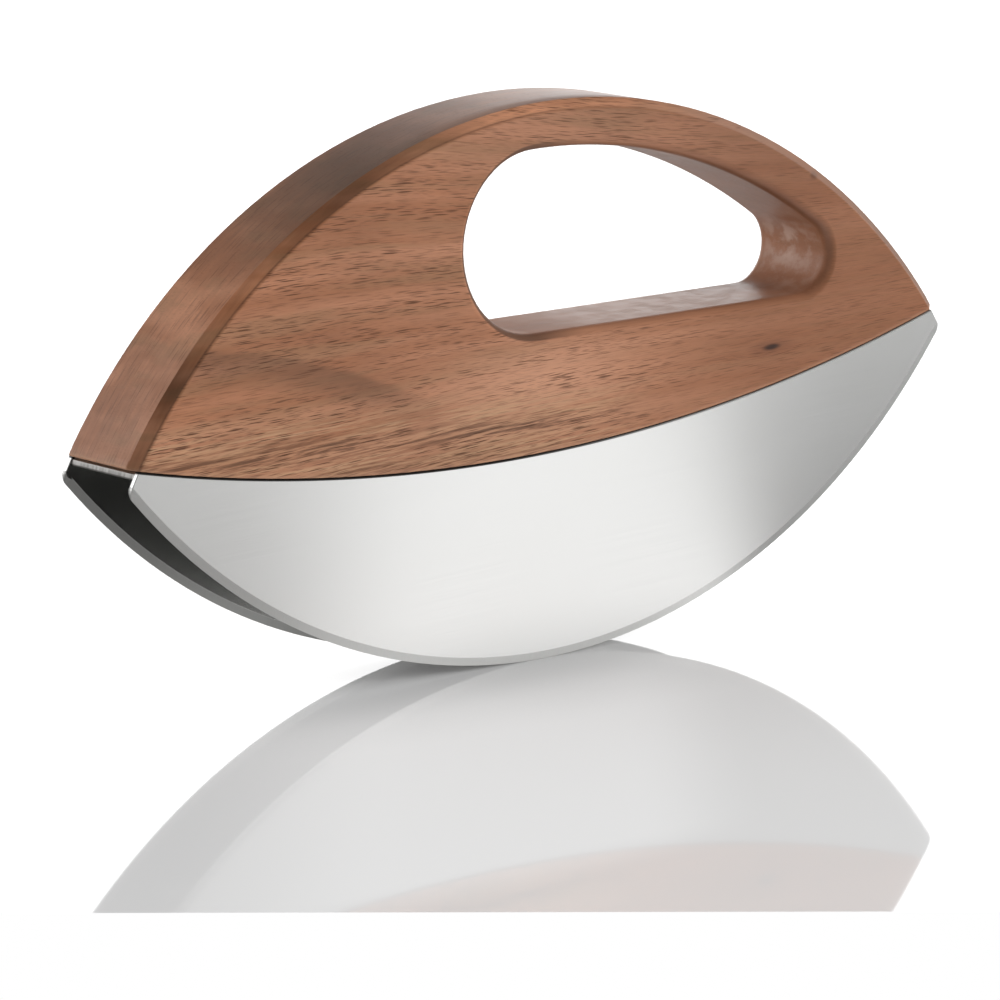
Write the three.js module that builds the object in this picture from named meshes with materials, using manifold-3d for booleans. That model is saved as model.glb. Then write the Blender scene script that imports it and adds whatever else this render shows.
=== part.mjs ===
// Double mezzaluna: two curved blades side by side under one arched wooden handle.
// Millimetres, +Z up. X runs along the blades and Y across them, front to rear.
// The cutting edges stand on z = 0 at mid length.
import * as THREE from "three";
import { mergeVertices } from "three/addons/utils/BufferGeometryUtils.js";
import Module from "manifold-3d";

// Handle
const HANDLE_LENGTH = 189.2; // end to end of the wood
const CROWN_HEIGHT = 100.8; // top of the arch above the table
const BODY_WIDTH = 20; // handle, and over the outer faces of the blades
const END_FACE = 0.4; // short upright face at each end of the arch
const EDGE_BEVEL = 1.8; // flat bevel along the arch, front and rear

// Hand hole, broad at the left and narrow at the right
const GRIP_DEPTH = 8.25; // wood over the hole
const GRIP_SHIFT = 3.65; // the hole's top repeats the arch, set this far to the left
const FLOOR_DEPTH = 21.8; // wood under the hole at mid length
const FLOOR_TILT = 2.1; // degrees by which the floor sinks towards the narrow end
const BROAD_FOOT = 3.5; // left of the middle, where the floor runs into the broad end
const NARROW_ROUND = 7; // radius of the narrow end
const MOUTH_ROUND = 2.1; // round of the hole's rims, front and rear

// Seam, the arc along which the wood sits on the steel
const SEAM_HEIGHT = 37.6; // lowest point of the steel's top edge
const SEAM_RADIUS = 381;
const SEAM_GAP = 0.3; // shadow line between wood and steel

// Blades
const BLADE_THICK = 1;
const END_INSET = 1.7; // the blade's ends follow the arch, this far inside it
const END_DROP = 3.5; // height of the blade's end, from the seam down to the tip
const TIP_ROUND = 2; // radius at each tip
const GRIND_HEIGHT = 1.5; // bevel up each side of the cutting edge
const EDGE_FLAT = 0.15; // thickness left at the cutting edge

// Bridge plate, the strip that joins the blades under the wood
const BRIDGE_THICK = 1;
const BRIDGE_DROP = 0.3; // below the top edges of the blades
const WELD_GAP = 0.3; // between its long sides and the blades

// Screws, up through the bridge plate into the wood
const SCREW_COUNT = 4;
const SCREW_MARGIN = 28.3; // along the seam, from the ends of the bridge plate to the outer screws
const SCREW_LENGTH = 12; // under the head
const SCREW_POINT = 3; // tapered end
const SHANK_RADIUS = 1.5;
const HEAD_RADIUS = 3;
const HEAD_HEIGHT = 2;
const HEAD_ROUND = 0.9;
const SCREW_GAP = 0.3; // round the shank, past the point and under the head

// Facets, and how far a cut runs past the face that it opens
const ARC_STEPS = 16;
const ROUND_STEPS = 5;
const EDGE_STEPS = 64;
const TIP_STEPS = 6;
const SEAM_STEPS = 32;
const SHANK_STEPS = 16;
const OVERRUN = 2;
const HAIR = 0.02; // for a flared cut, which has to end at the face

const wasm = await Module();
wasm.setup();

const WALNUT = new THREE.MeshStandardMaterial({ color: 0x96694f, roughness: 0.5, metalness: 0 });
const SATIN_STEEL = new THREE.MeshStandardMaterial({ color: 0xc9c9c7, roughness: 0.32, metalness: 1 });
const CUT_STEEL = new THREE.MeshStandardMaterial({ color: 0xb4b4b2, roughness: 0.4, metalness: 1 });
const SCREW_STEEL = new THREE.MeshStandardMaterial({ color: 0xa9a9a7, roughness: 0.35, metalness: 1 });

// The seam's circle, and the arch that spans it from end to end
const halfLength = HANDLE_LENGTH / 2;
const seamZ = SEAM_HEIGHT + SEAM_RADIUS;
const woodRadius = SEAM_RADIUS - SEAM_GAP;
const bridgeRadius = SEAM_RADIUS + BRIDGE_DROP;
const woodFoot = seamZ - Math.sqrt(woodRadius ** 2 - halfLength ** 2);
const archRise = CROWN_HEIGHT - woodFoot - END_FACE;
const archRadius = (halfLength ** 2 + archRise ** 2) / (2 * archRise);
const archZ = CROWN_HEIGHT - archRadius;

// The blade's end, tip and cutting edge. The edge's circle passes through both tips and the origin.
const endRadius = archRadius - END_INSET;
const bladeCorner = crossing(archZ, endRadius, seamZ, SEAM_RADIUS);
const tipZ = bladeCorner.y - END_DROP;
const tipX = Math.sqrt(endRadius ** 2 - (tipZ - archZ) ** 2);
const edgeRadius = (tipX ** 2 + tipZ ** 2) / (2 * tipZ);
const tipRound = crossing(archZ, endRadius - TIP_ROUND, edgeRadius, edgeRadius - TIP_ROUND);

// Half angles, at the seam's centre, of the bridge plate, which ends with the blades, and of the screws
const bridgeSpread = Math.asin(bladeCorner.x / SEAM_RADIUS);
const screwSpread = bridgeSpread - SCREW_MARGIN / SEAM_RADIUS;

// Right-hand point, as x and z, where two circles centred on the Z axis cross
function crossing(zA, radiusA, zB, radiusB) {
  const apart = zB - zA;
  const along = (radiusA ** 2 - radiusB ** 2 + apart ** 2) / (2 * apart);
  return new THREE.Vector2(Math.sqrt(radiusA ** 2 - along ** 2), zA + along);
}

// Direction of a point, as x and z, from a centre
function bearing(point, x, z) {
  return Math.atan2(point.y - z, point.x - x);
}

// A closed geometry as a solid, with its shared points merged and triangles that this flattens left out
function solid(geometry) {
  geometry.deleteAttribute("normal");
  geometry.deleteAttribute("uv");
  const merged = mergeVertices(geometry);
  const corners = merged.index.array;
  const kept = [];
  for (let start = 0; start < corners.length; start += 3) {
    const [a, b, c] = corners.slice(start, start + 3);
    if (a !== b && b !== c && c !== a) kept.push(a, b, c);
  }
  const mesh = new wasm.Mesh({
    numProp: 3,
    vertProperties: merged.attributes.position.array,
    triVerts: Uint32Array.from(kept),
  });
  return new wasm.Manifold(mesh);
}

function geometryOf(body) {
  const { vertProperties, triVerts } = body.getMesh();
  const geometry = new THREE.BufferGeometry();
  geometry.setAttribute("position", new THREE.BufferAttribute(vertProperties, 3));
  geometry.setIndex(new THREE.BufferAttribute(triVerts, 1));
  geometry.computeVertexNormals();
  return geometry;
}

function named(name, geometry, material) {
  const mesh = new THREE.Mesh(geometry, material);
  mesh.name = name;
  return mesh;
}

// An outline drawn in x and z, made solid from y = front to y = rear. A round takes the edges off it,
// in one step as a flat bevel, and a round below zero flares them out.
function slab(outline, front, rear, round = 0, steps = ROUND_STEPS) {
  const geometry = new THREE.ExtrudeGeometry(outline, {
    depth: rear - front - 2 * Math.abs(round),
    bevelEnabled: round !== 0,
    bevelThickness: Math.abs(round),
    bevelSize: round,
    bevelOffset: -round,
    bevelSegments: steps,
    curveSegments: ARC_STEPS,
  });
  geometry.rotateX(Math.PI / 2);
  geometry.translate(0, rear - Math.abs(round), 0);
  return solid(geometry);
}

// Hand hole: a sloping floor, a top that repeats the arch, and an arc at each end that meets both
function handHole() {
  const tilt = THREE.MathUtils.degToRad(FLOOR_TILT);
  const along = new THREE.Vector2(Math.cos(tilt), -Math.sin(tilt));
  const up = new THREE.Vector2(Math.sin(tilt), Math.cos(tilt));
  const floor = new THREE.Vector2(0, SEAM_HEIGHT + FLOOR_DEPTH);
  const top = new THREE.Vector2(-GRIP_SHIFT, archZ - GRIP_DEPTH);

  // Broad end: the circle that stands on the floor at its foot and touches the top
  const foot = floor.clone().addScaledVector(along, -BROAD_FOOT / along.x);
  const fromTop = foot.clone().sub(top);
  const broadRound = (archRadius ** 2 - fromTop.lengthSq()) / (2 * (archRadius + up.dot(fromTop)));
  const broad = foot.clone().addScaledVector(up, broadRound);

  // Narrow end: the circle of the set radius, as far right as the floor and the top allow
  const raised = floor.clone().addScaledVector(up, NARROW_ROUND);
  const offset = raised.clone().sub(top);
  const lean = offset.dot(along);
  const reach = Math.sqrt((archRadius - NARROW_ROUND) ** 2 - offset.lengthSq() + lean ** 2) - lean;
  const narrow = raised.addScaledVector(along, reach);

  const down = -Math.PI / 2 - tilt;
  const broadTop = bearing(broad, top.x, top.y);
  const narrowTop = bearing(narrow, top.x, top.y);
  const hole = new THREE.Shape();
  hole.absarc(top.x, top.y, archRadius, broadTop, narrowTop, true);
  hole.absarc(narrow.x, narrow.y, NARROW_ROUND, narrowTop, down, true);
  hole.absarc(broad.x, broad.y, broadRound, down, broadTop - 2 * Math.PI, true);
  return hole;
}

// Handle: the upper part of a disc with a bevelled rim, cut to the seam and to length, with the hand hole
function makeHandle() {
  const side = Math.asin((SEAM_HEIGHT - archZ) / archRadius);
  const disc = new THREE.Shape();
  disc.absarc(0, archZ, archRadius, side, Math.PI / 2, false);
  disc.absarc(0, archZ, archRadius, Math.PI / 2, Math.PI - side, false);
  disc.absarc(0, archZ, archRadius, Math.PI - side, 2 * Math.PI + side, false);

  const spread = Math.asin(halfLength / woodRadius);
  const seam = new THREE.Shape();
  seam.absarc(0, seamZ, woodRadius, -Math.PI / 2 - spread, -Math.PI / 2 + spread, false);
  seam.lineTo(halfLength, CROWN_HEIGHT + OVERRUN);
  seam.lineTo(-halfLength, CROWN_HEIGHT + OVERRUN);

  const halfWidth = BODY_WIDTH / 2;
  const arch = slab(disc, -halfWidth, halfWidth, EDGE_BEVEL, 1);
  const trim = slab(seam, -halfWidth - OVERRUN, halfWidth + OVERRUN);
  const mouth = slab(handHole(), -halfWidth - HAIR, halfWidth + HAIR, -MOUTH_ROUND);
  return drilled(arch.intersect(trim).subtract(mouth));
}

// Stations round the blade, counter-clockwise from the front: a point of the outline, the way out of it,
// and how far the bevel is ground there. The bevel runs out round each tip.
function bladeStations() {
  const stations = [];
  const arc = (x, z, radius, from, to, steps, grindFrom, grindTo) => {
    for (let step = 0; step < steps; step += 1) {
      const angle = THREE.MathUtils.lerp(from, to, step / steps);
      const out = new THREE.Vector2(Math.cos(angle), Math.sin(angle));
      const point = new THREE.Vector2(x, z).addScaledVector(out, radius);
      stations.push({ point, out, grind: THREE.MathUtils.lerp(grindFrom, grindTo, step / steps) });
    }
  };
  const cornerUp = bearing(bladeCorner, 0, seamZ);
  const cornerOut = bearing(bladeCorner, 0, archZ);
  const tipOut = bearing(tipRound, 0, archZ);
  const tipDown = bearing(tipRound, 0, edgeRadius);
  arc(0, edgeRadius, edgeRadius, -Math.PI - tipDown, tipDown, EDGE_STEPS, 1, 1);
  arc(tipRound.x, tipRound.y, TIP_ROUND, tipDown, tipOut, TIP_STEPS, 1, 0);
  arc(0, archZ, endRadius, tipOut, cornerOut, 1, 0, 0);
  arc(0, seamZ, SEAM_RADIUS, cornerUp, -Math.PI - cornerUp, SEAM_STEPS, 0, 0);
  arc(0, archZ, endRadius, Math.PI - cornerOut, Math.PI - tipOut, 1, 0, 0);
  arc(-tipRound.x, tipRound.y, TIP_ROUND, -Math.PI - tipOut, -Math.PI - tipDown, TIP_STEPS, 0, 1);
  return stations;
}

// Blade: two flat faces, the bevels that lead down from them, and the thin rim between the bevels
function makeBlade(front) {
  const stations = bladeStations();
  const middle = front + BLADE_THICK / 2;
  const faceRing = (side) => stations.map(({ point, out, grind }) => {
    const inner = point.clone().addScaledVector(out, -GRIND_HEIGHT * grind);
    return new THREE.Vector3(inner.x, middle + (side * BLADE_THICK) / 2, inner.y);
  });
  const rimRing = (side) => stations.map(({ point, grind }) => {
    const thick = THREE.MathUtils.lerp(BLADE_THICK, EDGE_FLAT, grind);
    return new THREE.Vector3(point.x, middle + (side * thick) / 2, point.y);
  });
  const rings = [faceRing(-1), rimRing(-1), rimRing(1), faceRing(1)];
  const count = stations.length;

  const corners = [];
  const cap = THREE.ShapeUtils.triangulateShape(rings[0].map(({ x, z }) => new THREE.Vector2(x, z)), []);
  for (const [a, b, c] of cap) {
    corners.push(a, b, c);
    corners.push(3 * count + a, 3 * count + c, 3 * count + b);
  }
  for (let ring = 0; ring < rings.length - 1; ring += 1) {
    for (let here = 0; here < count; here += 1) {
      const next = (here + 1) % count;
      const near = ring * count;
      const far = near + count;
      corners.push(near + here, far + here, near + next);
      corners.push(near + next, far + here, far + next);
    }
  }
  const geometry = new THREE.BufferGeometry().setFromPoints(rings.flat());
  geometry.setIndex(corners);
  return solid(geometry);
}

// Bridge plate: a strip along the underside of the seam, blade to blade
function makeBridge() {
  const left = -Math.PI / 2 - bridgeSpread;
  const right = -Math.PI / 2 + bridgeSpread;
  const strip = new THREE.Shape();
  strip.absarc(0, seamZ, bridgeRadius, left, right, false);
  strip.absarc(0, seamZ, bridgeRadius + BRIDGE_THICK, right, left, true);
  const halfWidth = BODY_WIDTH / 2 - BLADE_THICK - WELD_GAP;
  return drilled(slab(strip, -halfWidth, halfWidth));
}

// Place of a screw: its seat under the bridge plate, with +Y along it, square to the seam
function screwPlace(index) {
  const angle = THREE.MathUtils.lerp(-screwSpread, screwSpread, index / (SCREW_COUNT - 1));
  const seat = bridgeRadius + BRIDGE_THICK + SCREW_GAP;
  return new THREE.Matrix4()
    .makeTranslation(0, 0, seamZ)
    .multiply(new THREE.Matrix4().makeRotationY(-angle))
    .multiply(new THREE.Matrix4().makeTranslation(0, 0, -seat))
    .multiply(new THREE.Matrix4().makeRotationX(Math.PI / 2));
}

// A body with the clearance holes of all the screws in it
function drilled(body) {
  const depth = SCREW_LENGTH + SCREW_GAP + OVERRUN;
  for (let index = 0; index < SCREW_COUNT; index += 1) {
    const hole = new THREE.CylinderGeometry(
      SHANK_RADIUS + SCREW_GAP, SHANK_RADIUS + SCREW_GAP, depth, SHANK_STEPS,
    );
    hole.translate(0, depth / 2 - OVERRUN, 0);
    hole.applyMatrix4(screwPlace(index));
    body = body.subtract(solid(hole));
  }
  return body;
}

// Pan-head wood screw, head down, turned about its own axis
function screwGeometry() {
  const profile = new THREE.Path();
  profile.moveTo(0, -HEAD_HEIGHT);
  profile.lineTo(HEAD_RADIUS - HEAD_ROUND, -HEAD_HEIGHT);
  profile.absarc(HEAD_RADIUS - HEAD_ROUND, HEAD_ROUND - HEAD_HEIGHT, HEAD_ROUND, -Math.PI / 2, 0, false);
  profile.lineTo(HEAD_RADIUS, 0);
  profile.lineTo(SHANK_RADIUS, 0);
  profile.lineTo(SHANK_RADIUS, SCREW_LENGTH - SCREW_POINT);
  profile.lineTo(0, SCREW_LENGTH);
  return new THREE.LatheGeometry(profile.getPoints(2), SHANK_STEPS);
}

const mezzaluna = new THREE.Group();
mezzaluna.add(named("handle", geometryOf(makeHandle()), WALNUT));
mezzaluna.add(named("blade_front", geometryOf(makeBlade(-BODY_WIDTH / 2)), SATIN_STEEL));
mezzaluna.add(named("blade_rear", geometryOf(makeBlade(BODY_WIDTH / 2 - BLADE_THICK)), SATIN_STEEL));
mezzaluna.add(named("bridge_plate", geometryOf(makeBridge()), CUT_STEEL));
for (let index = 0; index < SCREW_COUNT; index += 1) {
  const screw = named(`screw_${index + 1}`, screwGeometry(), SCREW_STEEL);
  screw.applyMatrix4(screwPlace(index));
  mezzaluna.add(screw);
}

export default mezzaluna;
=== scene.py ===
"""Looks of a double mezzaluna: walnut handle, two curved blades, bridge plate and screws."""

import math

import bpy
from mathutils import Matrix, Vector


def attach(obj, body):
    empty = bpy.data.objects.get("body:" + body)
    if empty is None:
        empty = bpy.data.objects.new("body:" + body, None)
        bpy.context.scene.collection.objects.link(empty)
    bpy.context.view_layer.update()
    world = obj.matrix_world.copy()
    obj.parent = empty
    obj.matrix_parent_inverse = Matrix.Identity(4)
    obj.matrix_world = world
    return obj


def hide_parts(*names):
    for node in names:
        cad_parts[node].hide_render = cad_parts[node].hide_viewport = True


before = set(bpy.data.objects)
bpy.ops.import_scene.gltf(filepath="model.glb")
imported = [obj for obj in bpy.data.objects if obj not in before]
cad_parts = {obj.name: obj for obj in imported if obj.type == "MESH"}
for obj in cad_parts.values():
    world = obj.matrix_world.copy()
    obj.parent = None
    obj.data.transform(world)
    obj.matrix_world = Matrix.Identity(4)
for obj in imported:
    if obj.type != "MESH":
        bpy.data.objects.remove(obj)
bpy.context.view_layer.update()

MM = 0.001

# Arcs and faces of the tool, in millimetres
SEAM_CENTRE = 418.6
WOOD_RADIUS = 380.7
SEAM_RADIUS = 381.0
BRIDGE_MIDDLE = 381.8
SCREW_SEAT = 382.6
ARCH_CENTRE = -12.86
ARCH_RADIUS = 113.66
ARCH_BEVEL = 1.8
EDGE_RADIUS = 122.67
GRIND_HEIGHT = 1.5
HALF_WIDTH = 10.0
BLADE_INSIDE = 9.0
BLADE_MIDDLE = 9.5
PLATE_END = 93.5
PLATE_SIDE = 8.7

# Small rounds on the edges, and how corners and flats are told apart
WOOD_EASE = 0.3 * MM
STEEL_EASE = 0.1 * MM
EASE_STEPS = 2
MERGE = 0.002 * MM
SHARP = math.radians(40)
SMOOTH = math.radians(32)
GRIND_CRISP = math.radians(13)
FLAT = math.radians(0.3)
SQUARE_ON = 0.9

# Edges of the wood that are rounded, away from the screw holes
EASED_SIDE = 9.0
EASED_END = 94.0

# Blades, which meet the wood
TOP_RISE = 0.22 * MM
TOP_BAND = 0.1
GRIND_CLEAR = 1.0

# Bridge plate, which meets both blades
WELD_REACH = 0.28 * MM
WELD_SIDE = 8.0
SEAT_END = 92.6 * MM
SEAT_SLACK = 0.01
SEAT_RISE = 0.55 * MM

# Screws
SCREW_COUNT = 4
HEAD_RADIUS = 3.0 * MM
HEAD_HEIGHT = 2.0 * MM
HEAD_ROUND = 0.8 * MM
ROUND_STEPS = 4
HEAD_SIDES = 32
SHANK_RADIUS = 1.5 * MM
SHANK_LENGTH = 9.0 * MM
POINT_LENGTH = 3.0 * MM
POINT_SHARE = 0.1
SLOT_LENGTH = 3.2 * MM
SLOT_WIDTH = 0.8 * MM
SLOT_DEPTH = 1.1 * MM

# Spots on the front of the handle: along and up, then their reach along, up and in
KNOT = (52.4, 48.6)
KNOT_REACH = (2.2, 0.6, 5.0)
MARK = (64.1, 79.1)
MARK_REACH = (1.3, 0.7, 4.0)

# Oil on the wood, and how rough each surface is
OIL_COAT = 0.08
WOOD_ROUGH = 0.4
BLADE_ROUGH = 0.2
PLATE_ROUGH = 0.3
SCREW_ROUGH = 0.2

# Grain, level at the left end and fanning out to the right of it
FAN_FROM = -75.0
FAN_REACH = 65.0
FAN_STEADY = -10.0
FAN_LEVEL = 45.0
FAN_SPREAD = 0.004

# Dark arc and lower figure on the left, which both start at a place along and up
BAND_START = (-86.0, 68.9)
BAND_SLOPE = 0.09
BAND_CURVE = 0.0038
FIGURE_START = (-78.8, 48.2)
FIGURE_SLOPE = 0.066

# Sizes of the wood's marks: cells to the millimetre along, through and up
SWAY_CELLS = (0.012, 0.02, 0.03)
RIPPLE_CELLS = (0.05, 0.1, 0.15)
RING_CELLS = (0.006, 0.05, 0.15)
MOTTLE_CELLS = (0.05, 0.1, 0.11)
OLIVE_CELLS = (0.022, 0.1, 0.35)
STREAK_CELLS = (0.045, 0.3, 1.5)
FIBRE_CELLS = (0.09, 2.0, 3.2)
COMBED_CELLS = (0.11, 1.2, 0.02)
SCUFF_CELLS = (0.35, 0.3, 0.35)
CLUSTER_CELLS = (0.025, 0.12, 0.25)
GROOVE_CELLS = (0.15, 2.2, 0.01)
HAIR_CELLS = (0.32, 0.8, 5.6)
DASH_CELLS = (0.165, 0.8, 3.2)

# Sizes of the steel's marks, counted the same way
BRUSHED_CELLS = (0.02, 0.5, 14.0)
CROSS_CELLS = (6.0, 0.5, 0.3)
CLOUD_CELLS = (0.03, 0.1, 0.05)
PLATE_CELLS = (0.08, 0.15, 0.2)
SHEAR_CELLS = (0.05, 1.4, 0.1)
SCREW_CELLS = (0.9, 0.9, 0.9)
TURNED_CELLS = (0.2, 0.2, 9.0)

# Painted light and shade on the bevel along the arch: middle, reach and change, then start, end
# and change
BEVEL_PAINTED_SPOTS = ((-77.0, 13.0, 0.38), (-46.0, 13.0, -0.4), (-96.0, 5.0, -0.5))
BEVEL_PAINTED_STEPS = ((-25.0, -10.0, 0.4), (15.0, 60.0, -0.55), (60.0, 95.0, -0.4))

# Camera, in millimetres and degrees
CAMERA_TARGET = (-5.658, 0.0, 28.042)
CAMERA_AZIMUTH = 39.746
CAMERA_HEIGHT = 12.926
CAMERA_ROLL = -1.855
CAMERA_DISTANCE = 1087.655
CAMERA_LENS = 217.05
CAMERA_NEAR = 0.01
CAMERA_FAR = 50.0
SENSOR = 36.0

# Floor, a glossy sheet on which the tool rests rocked by a small angle
REST_ROCK = math.radians(2.363)
FLOOR_FRONT = 180.0 * MM
FLOOR_BACK = 3.0
FLOOR_SIDE = 3.0
FLOOR_HAIR = 0.03 * MM
FLOOR_WHITE = 0.8
FLOOR_LIFT = 0.42
FLOOR_SHADE_REACH = 40.0 * MM
FLOOR_SHADE_RAYS = 8
FLOOR_GLOSS = 0.035
FLOOR_INDEX = 2.4

# Floor behind the tool, in millimetres, and how far mirrors see it dimmed
FLOOR_BEHIND = (0.0, 30.0)
BEHIND_WHITE = 0.3
BEHIND_POOL = 0.6
BEHIND_GLOSS = 0.7

# Painted light on the floor, in millimetres: a pool that the blades mirror, and a glow under their
# image
POOL_LIGHT = 1.1
POOL_LEAST = 0.25
POOL_SHADE = 0.6
POOL_SLANT = 0.83
POOL_LEFT = (-96.0, -40.0)
POOL_RIGHT = (26.0, 58.0)
GLOW_LIGHT = 0.14
GLOW_LEFT = (-80.0, -30.0)
GLOW_RIGHT = (20.0, 50.0)
GLOW_FRONT = (-132.0, -114.0)
GLOW_BACK = (-32.0, -12.0)

# Room: dark overhead, darker ways with start, end and share, and a glint from the back left
OVERHEAD = (0.2, 0.6, 0.88)
DARKER_WAYS = (((-0.64, -0.77, 0.0), 0.35, 0.85, 0.7), ((0.64, -0.77, 0.0), 0.5, 0.92, 0.56))
GLINT_WAY = (-0.51, 0.75, 0.43)
GLINT_EDGE = (0.92, 0.98)

# Lamps: name, place in metres, width, height, power, and whether mirrors show it
LAMP_AIM = Vector((0.0, 0.0, 0.05))
LAMPS = (
    ("key_softbox", (0.85, -0.85, 0.25), 0.7, 0.7, 16.6, False),
    ("left_softbox", (-0.62, 0.42, 0.14), 0.4, 0.4, 3.8, False),
    ("back_softbox", (0.9, 1.08, 0.22), 1.6, 0.5, 3.6, True),
)


def srgb(red, green, blue):
    """Linear colour of a shade written as screen values."""

    def linear(value):
        value /= 255
        return value / 12.92 if value <= 0.04045 else ((value + 0.055) / 1.055) ** 2.4

    return linear(red), linear(green), linear(blue), 1.0


# Shades of the wood
BROWN_DEEP = srgb(154, 102, 72)
BROWN_PALE = srgb(180, 127, 97)
BROWN_OLIVE = srgb(146, 110, 80)
BROWN_RIGHT = srgb(132, 86, 60)
BROWN_CENTRE = srgb(202, 150, 120)
BAND_DARK = srgb(106, 74, 54)
FIGURE_PALE = srgb(188, 150, 116)
FIGURE_DARK = srgb(76, 51, 35)
KNOT_HALO = srgb(112, 70, 50)
KNOT_CORE = srgb(54, 35, 28)
MARK_DARK = srgb(80, 50, 38)
# Painted shade for the top of the arch on the upper left
CROWN_PAINTED_SHADE = srgb(74, 59, 46)
# Painted light for the bevel from the apex to the right
BEVEL_PAINTED_LIGHT = srgb(178, 146, 128)
GREYER_TOP_AND_HOLE = srgb(150, 120, 105)
# Painted shade for the rims of the hole
RIM_PAINTED_SHADE = srgb(70, 54, 46)
# Scuffs inside the hole, partly a painted sheen
SCUFF_AND_SHEEN = srgb(180, 152, 137)
GROOVE_DARK = srgb(84, 58, 44)
HAIR_DARK = srgb(100, 66, 48)
DASH_DARK = srgb(80, 51, 36)
SEAM_PALE = srgb(190, 146, 118)

# Shades of the steel
SATIN_LOW = srgb(232, 232, 230)
SATIN_HIGH = srgb(238, 238, 237)
# Painted shade for the inner faces of the blades
SATIN_INSIDE_SHADE = srgb(166, 166, 164)
# Painted shade for the outer and inner ground bevels
GRIND_PAINTED_SHADE = srgb(184, 184, 182)
GRIND_INSIDE_SHADE = srgb(118, 118, 116)
# Painted shadow for the seams, where the wood and the plate meet the blades
SEAM_SHADE = srgb(40, 36, 33)
PLATE_LOW = srgb(180, 178, 175)
PLATE_HIGH = srgb(198, 196, 193)
SHEAR_DARK = srgb(120, 118, 115)
# Dull torn zone of the cut ends, partly painted shade
TORN_AND_SHADED_DARK = srgb(66, 65, 63)
SCREW_LOW = srgb(168, 167, 164)
SCREW_HIGH = srgb(196, 195, 192)


class Wire:
    """One shader value that takes part in plain arithmetic."""

    def __init__(self, tree, socket):
        self.tree = tree
        self.socket = socket

    def work(self, operation, *terms):
        return self.tree.node("ShaderNodeMath", {"operation": operation}, dict(enumerate(terms)))

    def __add__(self, other):
        return self.work("ADD", self, other)

    def __radd__(self, other):
        return self.work("ADD", other, self)

    def __sub__(self, other):
        return self.work("SUBTRACT", self, other)

    def __rsub__(self, other):
        return self.work("SUBTRACT", other, self)

    def __mul__(self, other):
        return self.work("MULTIPLY", self, other)

    def __truediv__(self, other):
        return self.work("DIVIDE", self, other)

    def __pow__(self, other):
        return self.work("POWER", self, other)

    def __abs__(self):
        return self.work("ABSOLUTE", self)

    def root(self):
        return self.work("SQRT", self)

    def at_least(self, low):
        return self.work("MAXIMUM", self, low)

    def at_most(self, high):
        return self.work("MINIMUM", self, high)

    def bell(self):
        """One at zero, falling smoothly to nothing on both sides."""
        return self.work("EXPONENT", self * self * -1.0)

    def near(self, spot, reach):
        """One at the spot, falling smoothly to nothing past its reach."""
        return ((self - spot) / reach).bell()

    def rise(self, low, high):
        """Zero below low, one above high, smooth in between."""
        sockets = {"Value": self, "From Min": low, "From Max": high}
        return self.tree.node("ShaderNodeMapRange", {"interpolation_type": "SMOOTHSTEP"}, sockets)

    def fall(self, low, high):
        """One below low, zero above high, smooth in between."""
        return 1.0 - self.rise(low, high)


class Tree:
    """A node tree under construction."""

    def __init__(self, tree):
        self.tree = tree

    def node(self, kind, settings=None, sockets=None, output=0):
        made = self.tree.nodes.new(kind)
        for name, value in (settings or {}).items():
            setattr(made, name, value)
        for key, value in (sockets or {}).items():
            self.feed(made.inputs[key], value)
        return Wire(self, made.outputs[output])

    def feed(self, socket, value):
        if isinstance(value, Wire):
            self.tree.links.new(value.socket, socket)
        else:
            socket.default_value = value

    def vector(self, x, y, z):
        return self.node("ShaderNodeCombineXYZ", None, {0: x, 1: y, 2: z})

    def grey(self, value):
        return self.vector(value, value, value)

    def parts(self, place):
        """The three parts of a vector."""
        split = self.node("ShaderNodeSeparateXYZ", None, {0: place}).socket.node
        return [Wire(self, socket) for socket in split.outputs]

    def light_path(self, kind):
        return self.node("ShaderNodeLightPath", None, None, kind)

    def in_cells(self, place, cells, offset):
        """A place counted in cells, so many to the millimetre each way."""
        x, y, z = (part * count for part, count in zip(place, cells))
        return self.vector(x + offset, y, z)

    def noise(self, place, cells, detail=2.0, roughness=0.5, offset=0.0):
        spot = self.in_cells(place, cells, offset)
        sockets = {"Vector": spot, "Scale": 1.0, "Detail": detail, "Roughness": roughness}
        return self.node("ShaderNodeTexNoise", None, sockets)

    def pores(self, place, cells, core, rim, offset=0.0):
        """One spindle-shaped spot in each cell, dark within core and gone beyond rim."""
        sockets = {"Vector": self.in_cells(place, cells, offset), "Scale": 1.0}
        return self.node("ShaderNodeTexVoronoi", None, sockets).fall(core, rim)

    def mix(self, share, first, second):
        """Colour between first and second."""
        sockets = {0: share, 6: first, 7: second}
        return self.node("ShaderNodeMix", {"data_type": "RGBA"}, sockets, 2)


class Finish(Tree):
    """A surface finish: one Principled shader, the colour so far and what else feeds it."""

    def __init__(self, name, **constants):
        self.material = bpy.data.materials.new(name)
        self.material.use_nodes = True
        super().__init__(self.material.node_tree)
        self.shader = self.tree.nodes["Principled BSDF"]
        self.set(**constants)
        self.colour = None

    def set(self, **values):
        for key, value in values.items():
            self.feed(self.shader.inputs[key.replace("_", " ")], value)

    def millimetres(self):
        place = self.node("ShaderNodeTexCoord", None, None, "Object")
        return [part / MM for part in self.parts(place)]

    def stain(self, where, shade, strength=1.0):
        """Brings the colour closer to a shade in some places."""
        self.colour = self.mix(where * strength, self.colour, shade)

    def tone(self, change):
        """Makes the colour lighter or darker by a change."""
        sockets = {0: self.colour, "Scale": change + 1.0}
        self.colour = self.node("ShaderNodeVectorMath", {"operation": "SCALE"}, sockets)

    def relief(self, height, strength, depth):
        sockets = {"Strength": strength, "Distance": depth, "Height": height}
        self.set(Normal=self.node("ShaderNodeBump", None, sockets))


def from_centre(x, z, height):
    """Distance from the centre of an arc, which lies at this height over the middle."""
    return (x ** 2.0 + (z - height) ** 2.0).root()


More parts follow.
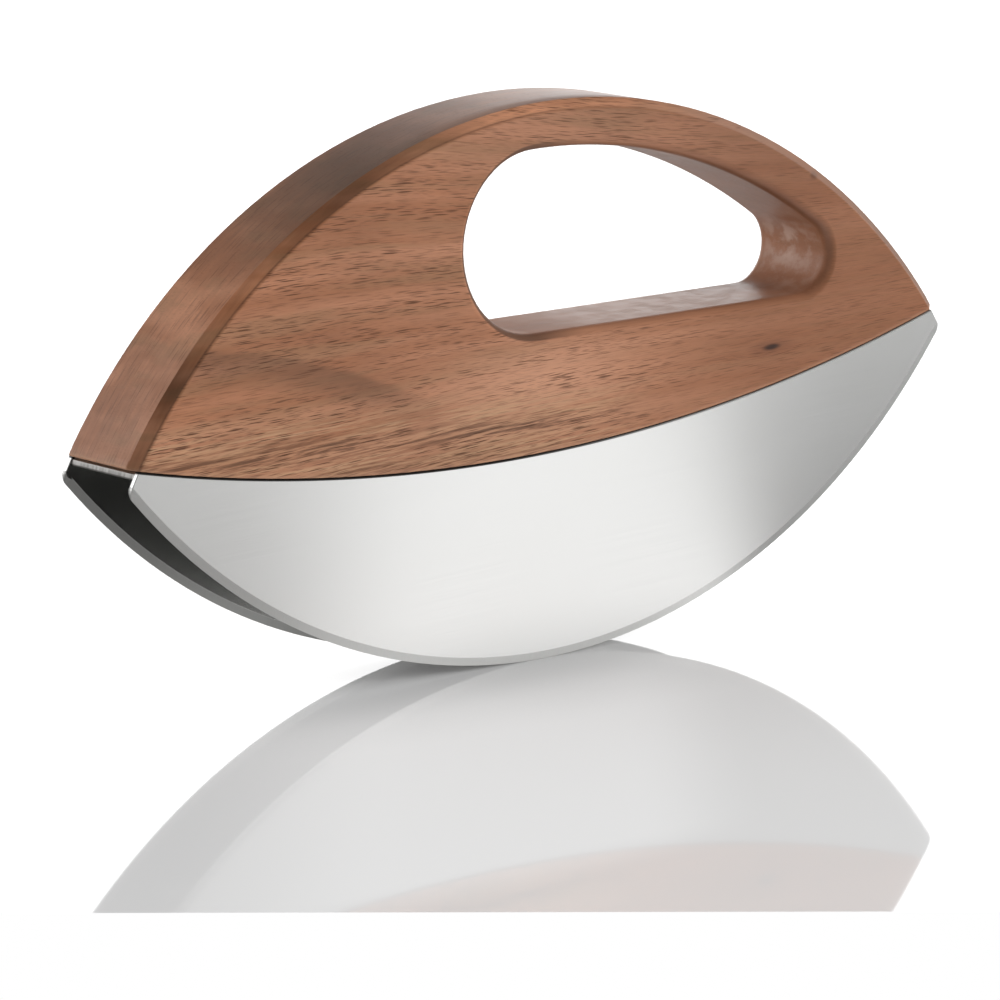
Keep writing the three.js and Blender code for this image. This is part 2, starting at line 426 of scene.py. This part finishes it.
class Walnut(Finish):
    """Oiled walnut with short dark pores, a figured lower left and one pin knot, and painted light
    and shade on its arch, bevels and hole.
    """

    def __init__(self):
        super().__init__("walnut", Coat_Roughness=0.3, Coat_IOR=1.45, Specular_IOR_Level=0.36)
        self.x, self.y, self.z = self.board = self.millimetres()
        self.tell_surfaces()
        self.lay_grain()
        self.colour_board()
        self.draw_band()
        self.draw_figure()
        self.set_knot()
        self.comb_arch()
        self.paint_bevel_shading()
        self.tone_faces()
        self.shade_and_wear_hole()
        self.open_pores()
        self.pale_seam()
        self.oil()

    def tell_surfaces(self):
        """Faces, arch with its flat top and bevels, and inside of the hand hole."""
        x, y, z = self.board
        self.side = abs(y).rise(HALF_WIDTH - 0.5, HALF_WIDTH - 0.05)
        bevelled = ARCH_RADIUS - ARCH_BEVEL
        self.crown = from_centre(x, z, ARCH_CENTRE).rise(bevelled - 0.2, bevelled + 0.2)
        self.crown = self.crown * (1.0 - self.side)
        self.inner = (1.0 - self.side) * (1.0 - self.crown)
        top_edge = HALF_WIDTH - ARCH_BEVEL
        self.bevel = self.crown * abs(y).rise(top_edge - 0.1, top_edge + 0.1)
        self.top = self.crown - self.bevel
        self.arc = x.work("ARCTAN2", x, z - ARCH_CENTRE) * ARCH_RADIUS
        self.along_arch = self.arc, y, z

    def from_spot(self, spot, reach):
        """Distance from a spot on the front face, in its own reaches."""
        along = (self.x - spot[0]) / reach[0]
        up = (self.z - spot[1]) / reach[1]
        deep = (self.y + HALF_WIDTH) / reach[2]
        return (along ** 2.0 + up ** 2.0 + deep ** 2.0).root()

    def lay_grain(self):
        """Height across the grain, which fans out to the right and flows round the knot."""
        x, y, z = self.board
        self.sway = self.noise(self.board, SWAY_CELLS) - 0.5
        self.from_knot = self.from_spot(KNOT, KNOT_REACH)
        bend = (x - FAN_FROM).at_least(0.0).at_most(FAN_REACH)
        fan = bend * bend / (2.0 * FAN_REACH) + (x - FAN_STEADY).at_least(0.0)
        grain = z + (z - FAN_LEVEL) * fan * FAN_SPREAD + self.sway * 2.5
        grain = grain - (z - KNOT[1]) * self.from_knot.near(0.0, 3.0) * 0.6
        self.ripple = self.noise((x, y, grain), RIPPLE_CELLS) - 0.5
        self.along_grain = x, y, grain + self.ripple * 0.6

    def colour_board(self):
        """Year rings, mottling, olive streaks, a darker right end and a pale centre."""
        ring = self.noise(self.along_grain, RING_CELLS, detail=3.0, roughness=0.55)
        self.colour = self.mix(ring.rise(0.36, 0.64), BROWN_DEEP, BROWN_PALE)
        mottle = self.noise(self.board, MOTTLE_CELLS, detail=3.0) - 0.5
        self.tone(mottle * 0.42)
        olive = self.noise(self.along_grain, OLIVE_CELLS, detail=3.0, offset=7.0)
        self.stain(olive.rise(0.46, 0.66), BROWN_OLIVE, strength=0.45)
        right_end = self.x.rise(5.0, 60.0)
        self.stain(right_end, BROWN_RIGHT, strength=0.7)
        under_hole = self.x.near(-4.0, 26.0) * self.z.near(51.0, 7.0)
        self.stain(under_hole, BROWN_CENTRE, strength=0.8)

    def draw_band(self):
        """Dark arc across the left of the faces."""
        along = self.x - BAND_START[0]
        under = self.z - BAND_START[1] + along * BAND_SLOPE + along * along * BAND_CURVE
        under = under + self.sway * 2.0 + self.ripple * 2.0
        band = under.fall(-0.8, 0.8) * under.rise(-8.0, -1.5) * self.x.fall(-46.0, -20.0)
        self.stain(band * (1.0 - self.crown * 0.7), BAND_DARK, strength=0.6)

    def draw_figure(self):
        """Pale and dark streaks along the lower left."""
        along = self.x - FIGURE_START[0]
        figure = self.z - FIGURE_START[1] + along * FIGURE_SLOPE + self.ripple * 3.0
        streak = self.noise(self.along_grain, STREAK_CELLS, detail=4.0, roughness=0.65)
        lower_left = self.x.fall(0.0, 28.0) * self.side
        pale = figure.near(3.0, 2.6) + figure.near(-3.2, 2.2)
        self.stain(pale * lower_left * streak.rise(0.42, 0.6), FIGURE_PALE, strength=0.7)
        dark = figure.near(0.0, 1.6) * 0.9 + figure.near(-4.5, 1.2) * 0.5
        self.stain(dark * lower_left * streak.fall(0.42, 0.55), FIGURE_DARK, strength=0.85)

    def set_knot(self):
        """Pin knot on the right and a small mark above it."""
        self.stain(self.from_knot.fall(1.0, 3.4), KNOT_HALO, strength=0.45)
        self.stain((self.from_knot + self.ripple * 1.4).fall(0.5, 1.35), KNOT_CORE)
        self.stain(self.from_spot(MARK, MARK_REACH).fall(0.5, 1.3), MARK_DARK, strength=0.6)

    def comb_arch(self):
        """Fine fibres, which follow the arch on its top, the top lighter or darker along it, and
        painted shade near its front edge at the apex and on its upper left.
        """
        y, arc, crown, top = self.y, self.arc, self.crown, self.top
        fibre = self.noise(self.along_grain, FIBRE_CELLS, detail=3.0) - 0.5
        combed = self.noise(self.along_arch, COMBED_CELLS, detail=4.0, roughness=0.6) - 0.5
        self.thread = fibre * (1.0 - crown) + combed * crown
        top_change = arc.near(-80.0, 14.0) * 0.3 - arc.fall(-110.0, -92.0) * 0.1
        # Painted shade: the top darkened near its front edge at the apex, where the round turns
        # away from the light.
        self.shaded_brow = top * y.fall(-8.5, -3.5) * arc.near(0.0, 28.0)
        self.tone(self.thread * (crown * 0.35 + 0.36) + top * top_change - self.shaded_brow * 0.25)
        # Painted shade: the top darkened on the upper left, where it faces the dark overhead.
        crown_shade = arc.near(-42.0, 20.0) * y.fall(3.0, 12.0) * top
        self.stain(crown_shade, CROWN_PAINTED_SHADE, strength=0.66)

    def paint_bevel_shading(self):
        """Painted light and shade on the bevel: lighter or darker in places along the arch, and a
        paler grey from the apex to the right.
        """
        arc, bevel = self.arc, self.bevel
        # Painted light and shade along the bevel.
        painted_shading = [arc.near(middle, reach) * change for middle, reach, change in BEVEL_PAINTED_SPOTS]
        painted_shading += [arc.rise(start, end) * change for start, end, change in BEVEL_PAINTED_STEPS]
        self.tone(bevel * sum(painted_shading))
        self.stain(bevel * arc.rise(-15.0, 60.0), BEVEL_PAINTED_LIGHT, strength=0.3)

    def tone_faces(self):
        """Greyer top of the arch and inside of the hole, lighter left end and darker top of the
        faces.
        """
        self.stain(self.top * 0.12 + self.inner * 0.1, GREYER_TOP_AND_HOLE)
        left_end = self.x.fall(-75.0, -40.0)
        over_hole = self.z.rise(68.0, 88.0) * self.x.rise(-30.0, 0.0)
        self.tone(self.side * (left_end * 0.1 - over_hole * 0.16))

    def shade_and_wear_hole(self):
        """Painted shade on the rims at the broad end of the hole, and pale scuffs inside, partly a
        painted sheen, most at the narrow end.
        """
        x, y, z = self.board
        # Painted shade: the rounded rims at the broad end darkened.
        rim = abs(y).rise(7.8, 9.0) * abs(y).fall(9.7, 9.9)
        rim = rim * (1.0 - self.crown) * x.fall(-6.0, 10.0)
        self.stain(rim, RIM_PAINTED_SHADE, strength=0.75)
        # Pale patches inside the hole: scuffs, partly a painted sheen.
        scuff_and_sheen = self.noise(self.board, SCUFF_CELLS, detail=4.0, roughness=0.55)
        self.scuff_and_sheen = scuff_and_sheen.rise(0.4, 0.66) * self.inner * abs(y).fall(7.0, 8.4)
        rubbed_and_sheen = y.near(1.0, 5.0) * z.near(64.5, 4.5) * x.rise(50.0, 62.0)
        self.stain(self.scuff_and_sheen * (rubbed_and_sheen * 0.55 + 0.3), SCUFF_AND_SHEEN)

    def open_pores(self):
        """Grooves along the arch, then fine and coarse pores along the grain."""
        arc, grain = self.arc, self.along_grain
        cluster = self.noise(grain, CLUSTER_CELLS).rise(0.34, 0.6)
        crest = self.bevel * arc.rise(-30.0, -8.0) * arc.fall(40.0, 70.0)
        shown = (self.side + self.top * 0.12 + crest * 0.8) * (cluster * 0.6 + 0.4)
        shown = shown * (1.0 - self.x.rise(0.0, 50.0) * 0.4)
        groove = self.pores(self.along_arch, GROOVE_CELLS, core=0.1, rim=0.42)
        self.stain(groove * self.top * arc.fall(-30.0, 10.0), GROOVE_DARK, strength=0.4)
        hair = self.pores(grain, HAIR_CELLS, core=0.14, rim=0.44, offset=9.0) * shown
        self.stain(hair, HAIR_DARK, strength=0.7)
        self.dash = self.pores(grain, DASH_CELLS, core=0.15, rim=0.41) * shown
        self.stain(self.dash, DASH_DARK, strength=0.9)

    def pale_seam(self):
        """Pale edge over the steel: partly wear, partly a painted highlight on its small round."""
        above_seam = WOOD_RADIUS - from_centre(self.x, self.z, SEAM_CENTRE)
        self.stain(above_seam.fall(0.3, 0.9), SEAM_PALE, strength=0.3)

    def oil(self):
        """Satin oil, duller where the wood is worn, with the pores left open."""
        worn = self.inner * self.x.fall(-10.0, 20.0)
        rough = self.thread * 0.2 + self.dash * 0.2 + self.scuff_and_sheen * 0.1 + worn * 0.25
        rough = rough + self.shaded_brow * 0.25 + self.bevel * self.arc.rise(30.0, 75.0) * 0.3
        self.set(Base_Color=self.colour, Roughness=rough + WOOD_ROUGH)
        self.set(Coat_Weight=OIL_COAT - self.dash * OIL_COAT)
        self.relief(self.thread * 0.4 - self.dash * 0.8, strength=0.35, depth=0.06 * MM)


def satin_steel():
    """Blade steel, brushed lengthwise, with cross-ground bevels, painted shade on the inner faces
    and bevels, and a painted shadow along the seam under the wood.
    """
    steel = Finish("satin_steel", Metallic=1.0)
    x, y, z = place = steel.millimetres()
    grind_line = EDGE_RADIUS - GRIND_HEIGHT
    ground = from_centre(x, z, EDGE_RADIUS).rise(grind_line - 0.1, grind_line + 0.1)
    brushed = steel.noise(place, BRUSHED_CELLS) - 0.5
    cross = steel.noise(place, CROSS_CELLS) - 0.5
    lines = brushed * (1.0 - ground) + cross * ground
    cloud = steel.noise(place, CLOUD_CELLS, detail=3.0) - 0.5
    steel.colour = steel.mix(cloud + 0.5, SATIN_LOW, SATIN_HIGH)
    # Painted shade: the inner faces, between the blades, darker.
    shaded_inside = abs(y).fall(BLADE_INSIDE + 0.02, BLADE_MIDDLE)
    steel.stain(shaded_inside, SATIN_INSIDE_SHADE, strength=0.6)
    # Painted shade on the ground bevels, less towards the right end and more on the inner bevels.
    less_shade_end = x.rise(10.0, 65.0)
    steel.stain(ground * (0.9 - less_shade_end * 0.85), GRIND_PAINTED_SHADE)
    shaded_ground_inside = ground * abs(y).fall(BLADE_MIDDLE - 0.1, BLADE_MIDDLE)
    steel.stain(shaded_ground_inside, GRIND_INSIDE_SHADE, strength=0.8)
    steel.tone(lines * 0.12)
    # Painted shadow along the blade's top edge, in the gap under the wood, lighter towards the
    # right end.
    seam_shade = from_centre(x, z, SEAM_CENTRE).fall(SEAM_RADIUS, SEAM_RADIUS + 0.16)
    tight_end = x.rise(-20.0, 60.0)
    steel.stain(seam_shade * (0.95 - tight_end * 0.7), SEAM_SHADE)
    rough = lines * 0.06 + cloud * 0.06 + ground * 0.1 + seam_shade * 0.4
    steel.set(Base_Color=steel.colour, Roughness=rough + BLADE_ROUGH)
    steel.relief(lines, strength=0.08, depth=0.01 * MM)
    return steel.material


def cut_steel():
    """Bridge plate, with the marks of the shear on its cut ends, a dull lower band there that is
    partly painted shade, and painted shadows along the seams at the blades.
    """
    steel = Finish("cut_steel", Metallic=1.0)
    x, y, z = place = steel.millimetres()
    cloud = steel.noise(place, PLATE_CELLS, detail=3.0)
    steel.colour = steel.mix(cloud, PLATE_LOW, PLATE_HIGH)
    end = abs(x).rise(PLATE_END - 0.3, PLATE_END)
    shear = steel.noise(place, SHEAR_CELLS).rise(0.35, 0.65)
    steel.stain(end * shear, SHEAR_DARK, strength=0.7)
    # Dull lower band of the cut ends: the torn zone of the shear, partly painted shade.
    torn_and_shaded = from_centre(x, z, SEAM_CENTRE).rise(SEAM_RADIUS + 0.95, SEAM_RADIUS + 1.15)
    steel.stain(end * torn_and_shaded, TORN_AND_SHADED_DARK, strength=0.85)
    # Painted shadow along the seams where the plate meets the blades.
    weld_shade = abs(y).rise(PLATE_SIDE, PLATE_SIDE + 0.2) * (1.0 - end)
    steel.stain(weld_shade, SEAM_SHADE, strength=0.9)
    steel.set(Base_Color=steel.colour, Roughness=cloud * 0.15 + end * 0.1 + PLATE_ROUGH)
    steel.relief(shear * end + cloud * 0.2, strength=0.3, depth=0.05 * MM)
    return steel.material


def screw_steel():
    """Plain screws with faint turning marks."""
    steel = Finish("screw_steel", Metallic=1.0)
    place = steel.millimetres()
    cloud = steel.noise(place, SCREW_CELLS, detail=3.0)
    turned = steel.noise(place, TURNED_CELLS, detail=1.0)
    steel.colour = steel.mix(cloud, SCREW_LOW, SCREW_HIGH)
    steel.set(Base_Color=steel.colour, Roughness=cloud * 0.2 + turned * 0.1 + SCREW_ROUGH)
    steel.relief(turned + cloud, strength=0.2, depth=0.02 * MM)
    return steel.material


def only(piece):
    """The one selected, active object."""
    bpy.ops.object.select_all(action="DESELECT")
    piece.select_set(True)
    bpy.context.view_layer.objects.active = piece


def edit(kind, select=None):
    """Into edit mode on faces, edges or corners, with everything, nothing or the same selected."""
    bpy.ops.object.mode_set(mode="EDIT")
    bpy.ops.mesh.select_mode(type=kind)
    if select:
        bpy.ops.mesh.select_all(action=select)


def leave():
    bpy.ops.object.mode_set(mode="OBJECT")


def copy_of(node, name):
    """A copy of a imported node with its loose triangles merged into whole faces."""
    piece = bpy.data.objects.new(name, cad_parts[node].data.copy())
    bpy.context.collection.objects.link(piece)
    piece.data.materials.clear()
    only(piece)
    edit("FACE", "SELECT")
    bpy.ops.mesh.remove_doubles(threshold=MERGE)
    bpy.ops.mesh.dissolve_limited(angle_limit=FLAT)
    leave()
    return piece


def ease(piece, width, wanted):
    """Rounds the sharp edges whose middle is wanted."""
    mesh = piece.data
    sides = {}
    for face in mesh.polygons:
        for key in face.edge_keys:
            sides.setdefault(key, []).append(face.normal.copy())
    only(piece)
    edit("EDGE", "DESELECT")
    leave()
    for edge in mesh.edges:
        met = sides.get(edge.key, [])
        start, end = (mesh.vertices[index].co for index in edge.vertices)
        corner = len(met) == 2 and met[0].angle(met[1], 0.0) > SHARP
        edge.select = corner and wanted((start + end) / 2 / MM)
    bpy.ops.object.mode_set(mode="EDIT")
    bpy.ops.mesh.bevel(
        offset=width, segments=EASE_STEPS, profile=0.5, affect="EDGES", clamp_overlap=True
    )
    leave()


def move(piece, wanted, way):
    """Moves the corners of a piece that are wanted."""
    only(piece)
    edit("VERT", "DESELECT")
    leave()
    for vertex in piece.data.vertices:
        vertex.select = wanted(vertex.co / MM)
    bpy.ops.object.mode_set(mode="EDIT")
    bpy.ops.transform.translate(value=way)
    leave()


def polish(piece, material, node, crisp=SMOOTH):
    """Smooth shading, finish, and the place of the piece on the tool."""
    only(piece)
    bpy.ops.object.shade_smooth_by_angle(angle=crisp)
    weighted = piece.modifiers.new("flat faces stay flat", "WEIGHTED_NORMAL")
    weighted.keep_sharp = True
    bpy.ops.object.modifier_apply(modifier=weighted.name)
    piece.data.materials.append(material)
    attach(piece, "root")
    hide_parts(node)


def on_outside(place):
    """On the outside of the handle, away from the screw holes."""
    return abs(place.y) > EASED_SIDE or abs(place.x) > EASED_END


def make_handle():
    piece = copy_of("handle", "walnut_handle")
    ease(piece, WOOD_EASE, on_outside)
    polish(piece, Walnut().material, "handle")


def above_grind(place):
    """On a blade, clear of the cutting edge."""
    ground = EDGE_RADIUS - GRIND_HEIGHT - GRIND_CLEAR
    return math.hypot(place.x, place.z - EDGE_RADIUS) < ground


def on_top_edge(place):
    """On a blade's upper edge, which the wood sits on."""
    return math.hypot(place.x, place.z - SEAM_CENTRE) < SEAM_RADIUS + TOP_BAND


def make_blades():
    steel = satin_steel()
    for node in ("blade_front", "blade_rear"):
        piece = copy_of(node, "satin_" + node)
        move(piece, on_top_edge, (0.0, 0.0, TOP_RISE))
        ease(piece, STEEL_EASE, above_grind)
        polish(piece, steel, node, GRIND_CRISP)


def on_seat(place):
    """On the bridge plate's upper side, which the wood sits on, short of its cut ends."""
    upper = math.hypot(place.x, place.z - SEAM_CENTRE) < BRIDGE_MIDDLE
    return upper and abs(place.x) < SEAT_END / MM + SEAT_SLACK


def make_bridge():
    piece = copy_of("bridge_plate", "welded_bridge_plate")
    for end in (-SEAT_END, SEAT_END):
        edit("FACE", "SELECT")
        bpy.ops.mesh.bisect(plane_co=(end, 0.0, 0.0), plane_no=(1.0, 0.0, 0.0))
        leave()
    move(piece, lambda place: place.y > WELD_SIDE, (0.0, WELD_REACH, 0.0))
    move(piece, lambda place: place.y < -WELD_SIDE, (0.0, -WELD_REACH, 0.0))
    move(piece, on_seat, (0.0, 0.0, SEAT_RISE))
    polish(piece, cut_steel(), "bridge_plate")


def cross_cutter():
    """Two crossed bars that stand in the underside of a screw head."""
    bars = []
    for turn in (0.0, math.pi / 2):
        bpy.ops.object.select_all(action="DESELECT")
        bpy.ops.mesh.primitive_cube_add(
            size=1.0, location=(0.0, 0.0, -HEAD_HEIGHT), rotation=(0.0, 0.0, turn)
        )
        bar = bpy.context.object
        bar.scale = (SLOT_LENGTH, SLOT_WIDTH, 2 * SLOT_DEPTH)
        bpy.ops.object.transform_apply(location=True, rotation=True, scale=True)
        bars.append(bar)
    return bars


def pick_end(screw, way):
    """Into edit mode on the end of a screw that looks up or down."""
    edit("FACE", "DESELECT")
    leave()
    for face in screw.data.polygons:
        face.select = face.normal.z * way > SQUARE_ON
    edit("FACE")


def model_screw():
    """One screw along Z: seat at zero, pan head below, shank and point above."""
    bpy.ops.object.select_all(action="DESELECT")
    bpy.ops.mesh.primitive_cylinder_add(
        vertices=HEAD_SIDES,
        radius=HEAD_RADIUS,
        depth=HEAD_HEIGHT,
        location=(0.0, 0.0, -HEAD_HEIGHT / 2),
    )
    screw = bpy.context.object
    bpy.ops.object.transform_apply(location=True, rotation=True, scale=True)
    pick_end(screw, -1)
    bpy.ops.mesh.region_to_loop()
    bpy.ops.mesh.bevel(offset=HEAD_ROUND, segments=ROUND_STEPS, profile=0.5, affect="EDGES")
    leave()
    pick_end(screw, 1)
    bpy.ops.mesh.inset(thickness=HEAD_RADIUS - SHANK_RADIUS)
    for length in (SHANK_LENGTH, POINT_LENGTH):
        bpy.ops.mesh.extrude_region_move(TRANSFORM_OT_translate={"value": (0.0, 0.0, length)})
    bpy.ops.transform.resize(value=(POINT_SHARE, POINT_SHARE, 1.0))
    leave()
    for bar in cross_cutter():
        only(screw)
        cut = screw.modifiers.new("cross recess", "BOOLEAN")
        cut.operation = "DIFFERENCE"
        cut.object = bar
        bpy.ops.object.modifier_apply(modifier=cut.name)
        bpy.data.objects.remove(bar)
    return screw


def make_screws():
    """Each copy sits on its own node, square to the curved plate."""
    steel = screw_steel()
    first = model_screw()
    for number in range(1, SCREW_COUNT + 1):
        node = "screw_%d" % number
        corners = [vertex.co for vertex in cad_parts[node].data.vertices]
        middle = sum(corners, Vector()) / len(corners) / MM
        lean = math.atan2(middle.x, SEAM_CENTRE - middle.z)
        down = Vector((math.sin(lean), 0.0, -math.cos(lean))) * SCREW_SEAT
        place = Matrix.Translation((down + Vector((0.0, 0.0, SEAM_CENTRE))) * MM)
        piece = bpy.data.objects.new("pan_head_" + node, first.data.copy())
        bpy.context.collection.objects.link(piece)
        piece.data.transform(place @ Matrix.Rotation(-lean, 4, "Y"))
        polish(piece, steel, node)
    bpy.data.objects.remove(first)


def place_camera():
    """The photograph's view: a long lens from the front left, a little above."""
    azimuth, height, roll = map(math.radians, (CAMERA_AZIMUTH, CAMERA_HEIGHT, CAMERA_ROLL))
    out = math.cos(height)
    back = Vector((-math.sin(azimuth) * out, -math.cos(azimuth) * out, math.sin(height)))
    level = Vector((math.cos(azimuth), -math.sin(azimuth), 0.0))
    above = back.cross(level)
    right = level * math.cos(roll) + above * math.sin(roll)
    up = above * math.cos(roll) - level * math.sin(roll)
    data = bpy.data.cameras.new("camera")
    data.lens = CAMERA_LENS
    data.sensor_width = SENSOR
    data.clip_start = CAMERA_NEAR
    data.clip_end = CAMERA_FAR
    camera = bpy.data.objects.new("camera", data)
    bpy.context.collection.objects.link(camera)
    turned = Matrix((right, up, back)).transposed().to_4x4()
    spot = (Vector(CAMERA_TARGET) + back * CAMERA_DISTANCE) * MM
    camera.matrix_world = Matrix.Translation(spot) @ turned
    bpy.context.scene.camera = camera


def floor_finish():
    """White glossy sheet, lifted for the camera, with painted light where mirrors see it, clear
    from below.
    """
    sheet = Finish(
        "white_gloss_sheet", Roughness=0.6, Specular_IOR_Level=0.0, Emission_Strength=1.0
    )
    seen = sheet.light_path("Is Camera Ray")
    mirrored = sheet.light_path("Is Glossy Ray")
    reach = {"Distance": FLOOR_SHADE_REACH}
    open_sky = sheet.node("ShaderNodeAmbientOcclusion", {"samples": FLOOR_SHADE_RAYS}, reach, "AO")
    spot = sheet.node("ShaderNodeNewGeometry", None, None, "Position")
    x, y = (part / MM for part in sheet.parts(spot)[:2])
    behind = y.rise(*FLOOR_BEHIND) * mirrored
    sheet.set(Base_Color=sheet.grey(FLOOR_WHITE - behind * BEHIND_WHITE))

    across = x - abs(y) * POOL_SLANT
    pool = across.rise(*POOL_LEFT) * (1.0 - POOL_LEAST) + POOL_LEAST
    pool = pool * across.fall(*POOL_RIGHT) * (1.0 - behind * BEHIND_POOL) * POOL_LIGHT
    toward = x - y * POOL_SLANT
    glow = toward.rise(*GLOW_LEFT) * toward.fall(*GLOW_RIGHT)
    glow = glow * y.rise(*GLOW_FRONT) * y.fall(*GLOW_BACK) * GLOW_LIGHT
    shaded = open_sky * POOL_SHADE + (1.0 - POOL_SHADE)
    lift = seen * (glow + FLOOR_LIFT) * open_sky + mirrored * pool * shaded
    sheet.set(Emission_Color=sheet.grey(lift))

    body = Wire(sheet, sheet.shader.outputs[0])
    mirror = sheet.node("ShaderNodeBsdfGlossy", None, {"Roughness": FLOOR_GLOSS})
    gloss = sheet.node("ShaderNodeFresnel", None, {"IOR": FLOOR_INDEX})
    gloss = gloss * (1.0 - behind * BEHIND_GLOSS)
    upper = sheet.node("ShaderNodeMixShader", None, {0: gloss, 1: body, 2: mirror})
    below = sheet.node("ShaderNodeNewGeometry", None, None, "Backfacing")
    clear = sheet.node("ShaderNodeBsdfTransparent")
    both = sheet.node("ShaderNodeMixShader", None, {0: below, 1: upper, 2: clear})
    sheet.feed(sheet.tree.nodes["Material Output"].inputs["Surface"], both)
    return sheet.material


def place_floor():
    """The sheet touches both cutting edges where the rocked tool stands on it."""
    bpy.ops.object.select_all(action="DESELECT")
    bpy.ops.mesh.primitive_plane_add(size=1.0)
    sheet = bpy.context.object
    sheet.name = "floor_sheet"
    depth = FLOOR_FRONT + FLOOR_BACK
    shape = Matrix.Diagonal((2 * FLOOR_SIDE, depth, 1.0, 1.0))
    slide = Matrix.Translation((0.0, FLOOR_BACK - depth / 2, -FLOOR_HAIR))
    turn = Matrix.Rotation(-math.radians(CAMERA_AZIMUTH), 4, "Z")
    lean = Matrix.Rotation(REST_ROCK, 4, "Y")
    touch = Vector((-math.sin(REST_ROCK), 0.0, 1.0 - math.cos(REST_ROCK))) * EDGE_RADIUS * MM
    sheet.matrix_world = Matrix.Translation(touch) @ lean @ turn @ slide @ shape
    sheet.data.materials.append(floor_finish())


def place_surround():
    """White room, dark overhead and in front, with a glint for the ends from the back left."""
    world = bpy.data.worlds.new("studio")
    bpy.context.scene.world = world
    world.use_nodes = True
    room = Tree(world.node_tree)
    x, y, z = room.parts(room.node("ShaderNodeTexCoord", None, None, "Generated"))

    def towards(way):
        return x * way[0] + y * way[1] + z * way[2]

    start, end, share = OVERHEAD
    level = 1.0 - z.rise(start, end) * share
    for way, start, end, share in DARKER_WAYS:
        level = level * (1.0 - towards(way).rise(start, end) * share)
    level = level + towards(GLINT_WAY).rise(*GLINT_EDGE)
    seen = room.light_path("Is Camera Ray")
    level = seen + (1.0 - seen) * level
    back = world.node_tree.nodes["Background"]
    room.feed(back.inputs["Color"], room.grey(level))
    room.feed(back.inputs["Strength"], 1.0)


def place_lamp(name, spot, wide, tall, power, glossy):
    """A soft lamp that looks at the middle of the tool."""
    data = bpy.data.lights.new(name, "AREA")
    data.shape = "RECTANGLE"
    data.size = wide
    data.size_y = tall
    data.energy = power
    lamp = bpy.data.objects.new(name, data)
    bpy.context.collection.objects.link(lamp)
    spot = Vector(spot)
    turned = (LAMP_AIM - spot).to_track_quat("-Z", "Y").to_matrix().to_4x4()
    lamp.matrix_world = Matrix.Translation(spot) @ turned
    lamp.visible_glossy = glossy
    lamp.visible_camera = False


make_handle()
make_blades()
make_bridge()
make_screws()
place_camera()
place_floor()
place_surround()
for lamp in LAMPS:
    place_lamp(*lamp)

bpy.context.scene.view_settings.view_transform = "Standard"
